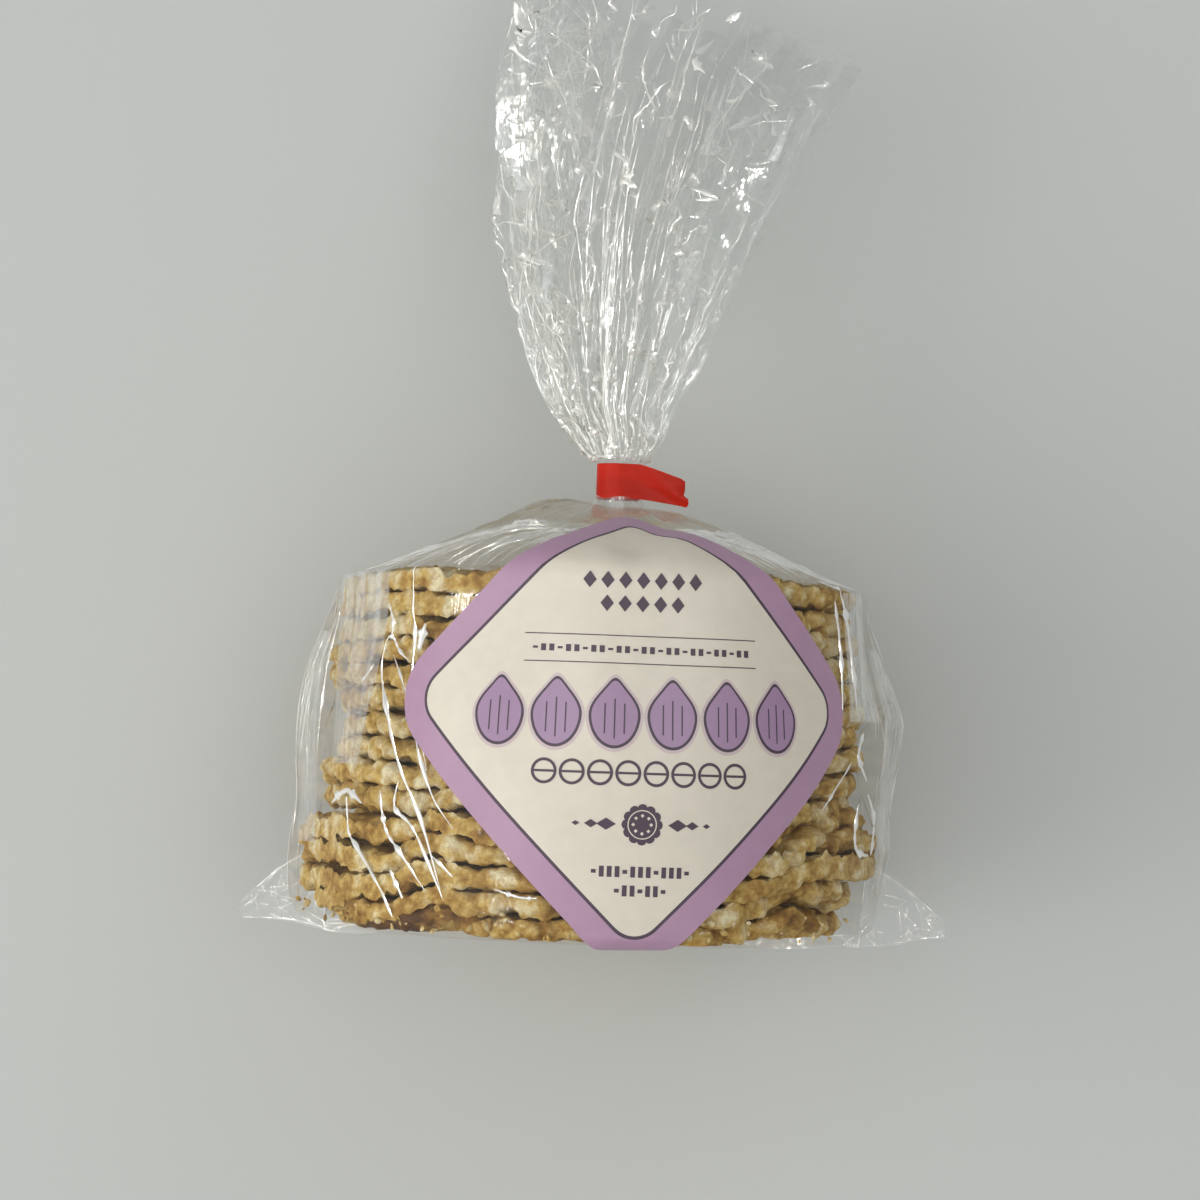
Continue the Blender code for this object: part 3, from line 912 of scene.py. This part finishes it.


# Ridges of painted glint on the drawn film: points in mm across and along it, and the ridge's half width in mm.
CREASES = [
    ([(-48.9, 41.0), (-48.0, 30.8), (-46.6, 24.5), (-46.3, 11.8), (-43.4, 2.7), (-37.6, -9.7),
      (-31.8, -16.9)], 0.40),
    ([(-56.6, 31.7), (-54.7, 27.9), (-54.9, 24.4)], 0.45),
    ([(-57.0, 23.3), (-55.4, 24.6), (-53.7, 23.9), (-51.8, 21.6), (-48.2, 19.3)], 0.45),
    ([(-57.0, 23.3), (-57.6, 16.9), (-52.7, 6.5), (-46.9, -4.3), (-40.3, -15.0), (-33.9, -31.8)], 0.50),
    ([(-46.8, -7.2), (-47.8, -10.7), (-47.3, -13.6), (-43.2, -16.3), (-40.0, -20.7), (-33.9, -31.8)], 0.50),
    ([(-52.7, -9.7), (-51.6, -15.0), (-49.9, -18.9), (-46.0, -22.7), (-38.8, -30.3)], 0.55),
    ([(-66.4, -11.4), (-64.5, -18.9), (-60.2, -22.8), (-52.4, -30.5), (-47.9, -36.6)], 0.55),
    ([(-49.1, -26.6), (-45.1, -32.4)], 0.6),
    ([(-43.8, 27.4), (-45.1, 21.6)], 1.0),
    ([(-60.9, 18.3), (-64.9, 14.2)], 0.35),
    ([(-37.0, -22.8), (-31.4, -27.1)], 0.35),
    ([(-21.3, -29.2), (-16.0, -30.6), (-11.8, -30.7)], 0.40),
    ([(-53.5, 20.4), (-48.7, 13.5), (-42.7, 4.4), (-39.3, -4.6)], 0.30),
    ([(-73.6, -12.8), (-66.5, -9.9), (-59.3, -12.6)], 0.8),
    ([(76.9, 6.7), (72.9, 1.3), (78.1, -4.0)], 0.7),
    ([(73.0, -9.3), (72.2, -18.8), (80.7, -20.7)], 0.7),
    ([(78.8, -6.9), (85.0, -13.0), (82.7, -20.7)], 0.7),
    ([(69.2, 0.1), (61.0, -7.0), (57.0, -10.5)], 0.35),
    ([(65.2, 35.9), (67.3, 25.4), (65.7, 11.2)], 0.6),
    ([(67.6, 38.4), (72.1, 28.5), (73.7, 10.8)], 0.7),
    ([(60.2, 41.5), (67.6, 38.4)], 0.5),
    ([(-38, 60), (-30, 63), (-24, 62)], 0.9),
    ([(-36, 57), (-27, 60)], 0.8),
    ([(-56, 51), (-42, 57), (-30, 60)], 0.5),
    ([(28, 62), (36, 58), (46, 52)], 0.8),
    ([(40, 56), (50, 50), (60, 44)], 0.7),
    ([(33, 64), (40, 60)], 0.9),
]


def make_creases():
    """Pinched folds of the drawn film, white with painted glint: beside the label, down both sides, over the
    shoulder and below.
    """
    rng = np.random.RandomState(23)

    def stray(name, across, ends, spread, longest, turned):
        """A short crease round a middle, which leans at random."""
        along, lean, length = rng.uniform(*ends), rng.normal(0, spread), rng.uniform(8, longest)
        points = [(across - lean, along + length / 2), (across, along),
                  (across + turned * lean, along - length / 2)]
        return crease(name, points, rng.uniform(0.12, 0.30))

    bright = [crease(f"crease_{k:02d}", points, 0.90 * width) for k, (points, width) in enumerate(CREASES)]
    side = 0.25 * TURN * FILM_RADIUS / MM
    for across in (-side, side):
        bright.append(crease("side_crease", [(across, along) for along in (37, 20, -5, -34)], 0.20))
    faint = []
    for k in range(130):
        across = rng.uniform(-100, 100)
        points = [(across * 0.35, 66 - rng.uniform(0, 8)), (across * 0.7, 55 + rng.uniform(-3, 3)),
                  (across + rng.uniform(-3, 3), rng.uniform(40, 47))]
        strip = crease(f"shoulder_crease_{k:03d}", points, rng.uniform(0.14, 0.34))
        (bright if across > 20 or k % 3 == 0 else faint).append(strip)
    for k in range(36):
        across = (1 if k % 2 else -1) * rng.uniform(84, 103)
        strip = stray(f"side_fold_{k:02d}", across, (-24, 26), 1.5, 26, 1)
        (bright if k % 5 == 0 else faint).append(strip)
    for k in range(90):
        strip = stray(f"under_crease_{k:02d}", rng.uniform(104, 298), (-28, 34), 5, 34, 0.6)
        (bright if k % 2 == 0 else faint).append(strip)
    join_folds("film_creases", bright, crease_painted_glint)
    join_folds("film_folds", faint, faint_crease_painted_glint)
    # Tucks of film with painted glint along one side, in three patches.
    tucks = []
    for k in range(70):
        spots = ((-105, -40), (70, 92)) if k % 2 else ((14, 60), (44, 62)) if k % 4 else ((50, 100), (72, 90))
        corner = [rng.uniform(*ends) * MM for ends in spots]
        tucks.append(tuck(f"film_tuck_{k:02d}", film.lay, corner, rng.uniform(2.0, 6.0) * MM,
                          rng.uniform(3, 10) * MM, rng.normal(0, 2.5) * MM, rng.uniform(0.3, 0.9), k % 3))
    finish_piece(join("film_tucks", tucks), film_folded)


def veil_and_painted_glint(name, left, right, thickest, fade):
    """A streaky white stretch between two lines down the bag: film that lies doubled there, and on the shoulder
    a painted sheen.
    """
    edges = [smooth_path(points, 12) * MM for points in (left, right)]
    share = np.linspace(0, 1, len(edges[0]))

    def place(u, v):
        first, second = [np.array([np.interp(v, share, side) for side in edge.T]) for edge in edges]
        pleat = 0.25 * MM * (1 + tri(6 * u + 0.8 * np.sin(3 * v))) * np.sin(math.pi * u)
        return film.lay(*(first * (1 - u) + second * u), 0.10 * MM + pleat)
    piece = sheet_grid(name, 60, 60, place, closed=False)
    v, u = [side.ravel() for side in np.meshgrid(*[np.linspace(0, 1, 61)] * 2, indexing="ij")]
    streaks = 0.45 + 0.3 * np.sin(23 * u + 2 * np.sin(3 * v)) + 0.25 * np.sin(51 * u + 3 * v + 1)
    haze_and_glint = thickest * streaks * ease(0, 0.15, u) * ease(1, 0.85, u) * ease(1, fade, v)
    mark(piece, "haze_and_glint", np.maximum(haze_and_glint, 0.01))
    smooth(piece, 60)
    finish_piece(piece, film_folded)


def make_veils():
    """Folded-over film at the neck end of both sides, and a streak of painted sheen over the right shoulder."""
    veil_and_painted_glint("film_fold_left", [(-90, 40), (-84, 28), (-78, 12), (-74, -4)],
         [(-57, 40), (-57, 28), (-60, 12), (-62, -4)], 0.42, 0.1)
    veil_and_painted_glint("film_fold_edge", [(-102, 26), (-102, 14), (-100, 0), (-96, -22)],
         [(-90, 26), (-88, 14), (-86, 0), (-84, -22)], 0.22, 0.4)
    veil_and_painted_glint("film_fold_right", [(69, 38), (70, 28), (70, 18), (69, 9)],
         [(83, 38), (84, 28), (85, 18), (86, 9)], 0.42, 0.97)
    # painted sheen: white streaks over the right shoulder, in place of its glints
    veil_and_painted_glint("shoulder_painted_sheen", [(28, 64), (36, 55), (46, 46)], [(62, 60), (68, 50), (71, 42)], 0.50, 0.3)
    veil_and_painted_glint("film_fold_outer", [(87, 26), (89, 16), (90, 6), (88, -20)],
         [(101, 26), (102, 16), (102, 6), (100, -20)], 0.26, 0.3)


def seam_sheet(u, v):
    """The sealed seam across the bottom, u from ear to ear and v from the bag to the cut edge."""
    seam_height = barrel_height(STACK_BACK) - 10.4 * MM
    x = EAR_REACH * (2 * u - 1)
    reach = np.abs(x)
    outer = STACK_BACK + (2.0 * ease(60 * MM, EAR_REACH, reach) + 0.4 * np.sin(x / (4 * MM)) - 3.0) * MM
    share = np.clip((reach - 64 * MM) / (EAR_REACH - 64 * MM), 0, 1)
    inner = -24 * MM + (outer + 3.5 * MM + 24 * MM) * share ** 1.5
    inner = np.where(reach < 62 * MM, STACK_BACK + 0.5 * MM, inner)
    y = inner + (outer - inner) * v
    crinkle = 0.7 * MM * tri(x / (7 * MM) + 2 * v) + 0.4 * MM * tri(x / (3.1 * MM) - 3 * v)
    z = seam_height - 16 * MM * ease(50 * MM, EAR_REACH, reach) + 0.3 * (y - outer)
    return np.stack([x, y, z + crinkle * ease(60 * MM, 70 * MM, reach)], -1)


def make_ears():
    """The sealed seam across the bottom, and the two flat corners that it ends in."""
    rng = np.random.RandomState(5)
    ears = sheet_grid("film_ears", 260, 20, seam_sheet)
    smooth(ears, 30)
    finish_piece(ears, film_doubled)
    lay = laid_on(seam_sheet)
    strips = []
    for k in range(80):
        from_tip = rng.uniform(0.006, 0.15)
        start = (from_tip, rng.uniform(0.05, 0.9))
        end = (from_tip + rng.uniform(-0.015, 0.045), start[1] + rng.uniform(-0.5, 0.5))
        ends = [(u if k % 2 else 1 - u, min(max(v, 0.03), 0.97)) for u, v in (start, end)]
        strips.append(ridge(f"ear_crease_{k:02d}", lay, ends, 30, rng.uniform(0.10, 0.28), 0.6))
    for tip, body in ((0.004, 0.14), (0.996, 0.86)):
        for v in (0.96, 0.05):
            strips.append(ridge("ear_edge", lay, [(tip, v), (body, v)], 30, 0.22, 0.6))
    # The ear creases and edges are white with painted glint.
    join_folds("ear_creases", strips, crease_painted_glint)


# ---------------------------------------------------------------- the label, drawn flat in mm

def slice_up(piece, step):
    """Cut a flat piece into small cells, so that it can follow the film."""
    co = points_of(piece)
    edit(piece)
    for axis, direction in enumerate(((1, 0, 0), (0, 1, 0))):
        for place in np.arange(co[:, axis].min() + 0.37 * step, co[:, axis].max(), step):
            bpy.ops.mesh.select_all(action="SELECT")
            bpy.ops.mesh.bisect(plane_co=[place * side for side in direction], plane_no=direction)
    to_objects()


def lay_on_bag(piece, lift):
    """Bend a flat piece, drawn about the label's middle, over the bag; the corners spring up a little."""
    x, y, z = points_of(piece).T
    across, along = LABEL_ACROSS + x, LABEL_ALONG + y
    wave = 0.12 * MM * np.sin(across / (6 * MM) + along / (9 * MM))
    sprung = 0.55 * MM + 0.25 * MM * ease(38 * MM, 56 * MM, np.hypot(x, y)) + wave
    set_points(piece, taut_film.lay(across, along, sprung + lift + z))


def make_label():
    """The paper label: a lilac border, a dark line and a cream middle, laid over the bag."""
    deselect()
    bpy.ops.mesh.primitive_plane_add(size=LABEL_SIDE, rotation=(0, 0, math.pi / 4))
    label = named("label_paper")
    bpy.ops.object.transform_apply()
    edit(label, "VERT")
    bpy.ops.mesh.bevel(offset=LABEL_CORNER, segments=14, affect="VERTICES", offset_type="OFFSET")
    for look in (lilac_paper, dark_ink, cream_paper):
        label.data.materials.append(look)
    bpy.ops.mesh.select_mode(type="FACE")
    bpy.ops.mesh.select_all(action="SELECT")
    for slot, width in ((1, 5.8 * MM), (2, 0.70 * MM)):
        bpy.ops.mesh.inset(thickness=width, use_even_offset=True)
        label.active_material_index = slot
        bpy.ops.object.material_slot_assign()
    to_objects()
    slice_up(label, 2.4 * MM)
    lay_on_bag(label, 0)
    thicken(label, 0.18 * MM, -1)
    smooth(label, 40)
    finish_piece(label, None, "label", slot="label_paper")


def placed(width, height, x, y):
    """Stretch the flat primitive that was just added, and move it."""
    piece = bpy.context.object
    piece.scale = (width * MM, height * MM, 1)
    piece.location = (x * MM, y * MM, 0)
    bpy.ops.object.transform_apply()
    return piece


def bar(width, height, x, y):
    deselect()
    bpy.ops.mesh.primitive_plane_add(size=1)
    return placed(width, height, x, y)


def disc(width, height, x, y, corners=40):
    """A flat round, or with four corners a lozenge."""
    deselect()
    bpy.ops.mesh.primitive_circle_add(vertices=corners, radius=0.5, fill_type="NGON")
    return placed(width, height, x, y)


def hollow(piece, stroke):
    """Keep only a line round the edge of a flat shape."""
    edit(piece)
    bpy.ops.mesh.inset(thickness=stroke * MM)
    bpy.ops.mesh.delete(type="FACE")
    to_objects()
    return piece


def almond(width, height, x, y):
    """A nut's outline: round below and drawn to a point above."""
    piece = disc(1.08 * width, height, 0, 0, 48)
    co = points_of(piece)
    up = co[:, 1] / (height * MM)
    co[:, 0] *= 1 - 0.55 * ease(-0.1, 0.55, up) * ease(-0.3, 0.5, up)
    set_points(piece, co + (x * MM, y * MM, 0))
    return piece


def rosette(width, x, y, lobes=12):
    """A scalloped round."""
    piece = disc(width, width, 0, 0, lobes * 10)
    co = points_of(piece)
    co *= 0.87 + 0.13 * np.abs(np.cos(lobes / 2 * np.arctan2(co[:, 1:2], co[:, :1]))) ** 0.6
    set_points(piece, co + (x * MM, y * MM, 0))
    return piece


def print_layer(name, pieces, look, lift):
    """Join flat shapes of one ink and lay them on the label."""
    layer = join(name, pieces)
    slice_up(layer, 2.5 * MM)
    lay_on_bag(layer, lift * MM)
    smooth(layer, 40)
    finish_piece(layer, look, slot="label_paper")


def make_print():
    """Generic ornament in place of words: nuts, little wafers, lozenges, rules and a rosette."""
    dark = [disc(3.0, 3.6, (k - 3) * 4.0, 26.6, 4) for k in range(7)]
    dark += [disc(3.0, 3.6, (k - 2) * 4.0, 21.6, 4) for k in range(5)]
    dark += [bar(53, 0.22, 0.5, y) for y in (14.6, 8.6)]
    dark += [bar(1.1, 1.5 if k % 3 else 0.5, (k - 13) * 1.85 + 0.5, 11.6) for k in range(27)]
    halo, lilac, lines = [], [], []
    for k in range(6):
        x, y = (k - 2.5) * 12.6 + 0.7, -2.2
        halo.append(almond(11.6, 16.6, x, y))
        dark.append(almond(10.4, 15.2, x, y))
        lilac.append(almond(9.3, 13.9, x, y))
        lines += [bar(0.3, 8.5 - 2 * abs(side), x + side * 2.1, y - 1.2) for side in (-1, 0, 1)]
    for k in range(8):
        x, y = (k - 3.5) * 5.95 + 0.6, -14.9
        dark += [hollow(disc(5.5, 5.5, x, y), 0.62), bar(4.2, 0.5, x, y)]
    x, y = 0.9, -25.6
    dark.append(rosette(8.7, x, y))
    pale = [hollow(disc(6.2, 6.2, x, y), 0.22)]
    for turn in np.arange(8) * TURN / 8:
        pale.append(disc(0.8, 0.8, x + 1.9 * math.cos(turn), y + 1.9 * math.sin(turn), 4))
    for side in (-1, 1):
        for k, size in enumerate((3.2, 2.2, 1.3)):
            dark.append(disc(size * 1.3, size * 0.8, x + side * (7.6 + 3.2 * k), y, 4))
    dark += [bar(1.0, 2.3 if k % 4 else 0.8, x + (k - 6) * 1.65, -35.6) for k in range(13)]
    dark += [bar(1.0, 2.3 if k % 3 else 0.8, x + (k - 3) * 1.65, -39.6) for k in range(7)]
    print_layer("print_halo", halo, halo_ink, 0.04)
    print_layer("print_dark", dark, dark_ink, 0.07)
    print_layer("print_lilac", lilac, lilac_ink, 0.10)
    print_layer("print_lines", lines, dark_ink, 0.13)
    print_layer("print_pale", pale, cream_paper, 0.10)


# ---------------------------------------------------------------- the tape

def make_tape():
    """The red tape: one strip round the neck, its ends stuck together in a flag to the right."""
    width = TAPE_END - TAPE_START
    radius = NECK_RADIUS + 0.35 * MM
    tip = tie_high.x - 0.3 * MM
    leave = math.radians(66)

    def at(turn, reach):
        return NECK.x + reach * math.cos(turn), NECK.z + reach * math.sin(turn)

    bend = at(leave / 2, (radius + 0.8 * MM) / math.cos(leave / 2))
    corners = (at(leave, radius), bend, (tip, NECK.z + 1.6 * MM))
    top = [tuple(a * (1 - t) ** 2 + 2 * b * t * (1 - t) + c * t * t for a, b, c in zip(*corners))
           for t in np.linspace(1, 0, 12)]
    loop = [at(t, radius) for t in np.linspace(leave, leave + TURN * 0.955, 40)][1:]
    under = [(x, z - 0.32 * MM) for x, z in reversed(top)][1:]
    tape = trace("tie_tape_strip", [(x, TAPE_START, z) for x, z in top + loop + under])
    edit(tape, "VERT")
    bpy.ops.mesh.extrude_region_move(TRANSFORM_OT_translate={"value": (0, width, 0)})
    for share in (0.5, 0.08, 0.16, 0.26, 0.36, 0.44, 0.56, 0.64, 0.74, 0.84, 0.92):
        bpy.ops.mesh.select_all(action="SELECT")
        bpy.ops.mesh.bisect(plane_co=(0, TAPE_START + share * width, 0), plane_no=(0, 1, 0))
    to_objects()
    x, y, z = points_of(tape).T
    start = NECK.x + radius
    share = np.clip((x - start) / (tip - start), 0, 1)
    place = (y - TAPE_START) / width - 0.5
    y = y - 0.22 * place * width * share - 2.4 * MM * share ** 1.1 + 1.4 * MM * np.clip(-2 * place, 0, 1)
    ragged = 0.9 * ease(0, 0.2, place) + 1.0 * bump(0.05, 0.14, place) + 0.5 * bump(-0.5, 0.12, place)
    x = x - np.where(share > 0.93, ragged * MM, 0)
    z = z + 0.25 * MM * np.sin(place * 7 + x / MM * 0.5) * ease(0, 0.3, share)
    set_points(tape, np.stack([x, y, z], -1))
    thicken(tape, 0.14 * MM, 0)
    tidy_mesh(tape)
    smooth(tape, 40)
    finish_piece(tape, tape_finish, "tie_tape", slot="tie_tape")


def make_collar():
    """The gathered film that bulges up over the lower edge of the tape."""
    def place(u, v):
        around = TURN * u
        radius = NECK_RADIUS + (0.75 + 0.15 * np.sin(9 * around + 2 * v) + 7.0 * (1 - v) ** 2.5) * MM
        top = TAPE_START + (2.0 + 0.5 * np.sin(2 * around + 1) + 0.25 * np.sin(5 * around)) * MM
        low = NECK.y - 3.0 * MM
        return round_neck(u, radius, low + (top - low) * v)
    collar = sheet_grid("film_collar", 136, 8, place)
    co = points_of(collar)
    angle = polar(co[:, 0] - NECK.x, co[:, 2] - NECK.z)[0]
    mark(collar, "haze_and_glint", 0.20 + 0.10 * np.sin(5 * angle) + 0.06 * np.sin(14 * angle + 1))
    smooth(collar, 60)
    finish_piece(collar, film_folded)


# ---------------------------------------------------------------- the studio

def lamp(name, place, size, power, colour=(1, 1, 1), mirrored=False, target=(0, 0.03, 0.05)):
    """A plain lamp lights without being mirrored in the film; a mirrored one only glints in it."""
    data = bpy.data.lights.new(name, "AREA")
    data.shape = "DISK" if mirrored else "SQUARE"
    data.size = size
    data.energy = power
    data.color = colour
    thing = bpy.data.objects.new(name, data)
    bpy.context.scene.collection.objects.link(thing)
    thing.location = place
    thing.rotation_euler = (Vector(target) - Vector(place)).to_track_quat("-Z", "Y").to_euler()
    thing.visible_glossy = mirrored
    thing.visible_diffuse = not mirrored


def light_room(tree):
    """An even pale room, brighter overhead and brightest towards the window on the left."""
    way = node(tree, "TexCoord", out="Generated")
    glows = []
    for towards, edge, least, most in (((-0.85, -0.20, 0.48), 0.5, 0.28, 0.92),
                                       ((0.0, 0.0, 1.0), 0.2, 0.0, 0.20)):
        facing = node(tree, "VectorMath", way, towards, operation="DOT_PRODUCT", out="Value")
        glows.append(node(tree, "MapRange", facing, edge, To_Min=least, To_Max=most,
                          interpolation_type="SMOOTHSTEP"))
    background = tree.nodes["Background"]
    fill(tree, background.inputs["Color"], (0.97, 0.985, 1.0, 1))
    fill(tree, background.inputs["Strength"], node(tree, "Math", *glows, operation="ADD"))


def make_camera():
    camera = bpy.data.cameras.new("camera")
    camera.sensor_width = 36
    camera.lens = 110
    eye = bpy.data.objects.new("camera", camera)
    bpy.context.scene.collection.objects.link(eye)
    roll, tilt = math.radians(2.0), math.radians(2.0)
    up = Vector((0, 0, 1))
    ahead = Vector((-math.sin(roll), math.cos(roll), 0))
    right = Vector((math.cos(roll), math.sin(roll), 0))
    back = up * math.cos(tilt) - ahead * math.sin(tilt)
    top = ahead * math.cos(tilt) + up * math.sin(tilt)
    turned = Matrix((right, top, back)).transposed().to_4x4()
    eye.matrix_world = Matrix.Translation((0.26 * MM, 5.70 * MM, 0.900)) @ turned
    bpy.context.scene.camera = eye


def make_studio():
    deselect()
    bpy.ops.mesh.primitive_plane_add(size=6)
    floor = named("floor")
    finish, tree = material("pale_floor")
    shader = node(tree, "BsdfPrincipled", Base_Color=(0.57, 0.585, 0.56, 1), Roughness=0.75)
    floor.data.materials.append(closed(finish, shader))

    scene = bpy.context.scene
    scene.world = bpy.data.worlds.new("studio")
    scene.world.use_nodes = True
    light_room(scene.world.node_tree)
    lamp("window", (-0.93, -0.14, 0.60), 0.70, 3.9, (1.0, 0.98, 0.95))
    lamp("ceiling", (0.26, -0.10, 1.42), 0.90, 3.8)
    lamp("fill", (0.95, -0.05, 0.60), 0.60, 0.25)
    lamp("back", (0.45, 0.75, 0.80), 0.50, 0.6, target=(0.10, 0.22, 0))
    bulbs = {(-0.50, -0.10, 0.84): 1.3, (-0.80, 0.25, 0.55): 1.2, (0.40, 0.30, 0.85): 0.7,
             (-0.10, 0.75, 0.65): 1.3, (0.10, -0.60, 0.70): 1.0}
    for number, (place, power) in enumerate(bulbs.items()):
        lamp(f"bulb_{number + 1}", place, 0.03, power, (1.0, 0.98, 0.94), mirrored=True)
    lamp("high_glint", (-0.22, 0.38, 1.00), 0.22, 2.6, mirrored=True)
    lamp("side_glint", (0.52, 0.30, 0.80), 0.16, 1.0, mirrored=True)

    scene.view_settings.view_transform = "Standard"
    scene.cycles.transparent_max_bounces = 48
    scene.cycles.max_bounces = 5
    scene.cycles.diffuse_bounces = 3
    scene.cycles.glossy_bounces = 3
    make_camera()


for make in (make_studio, make_wafers, make_crumbs, make_body_film, make_ears, make_creases, make_veils,
             make_ruffle, make_label, make_print, make_tape, make_collar):
    make()
for helper in plain_strips.values():
    bpy.data.objects.remove(helper)
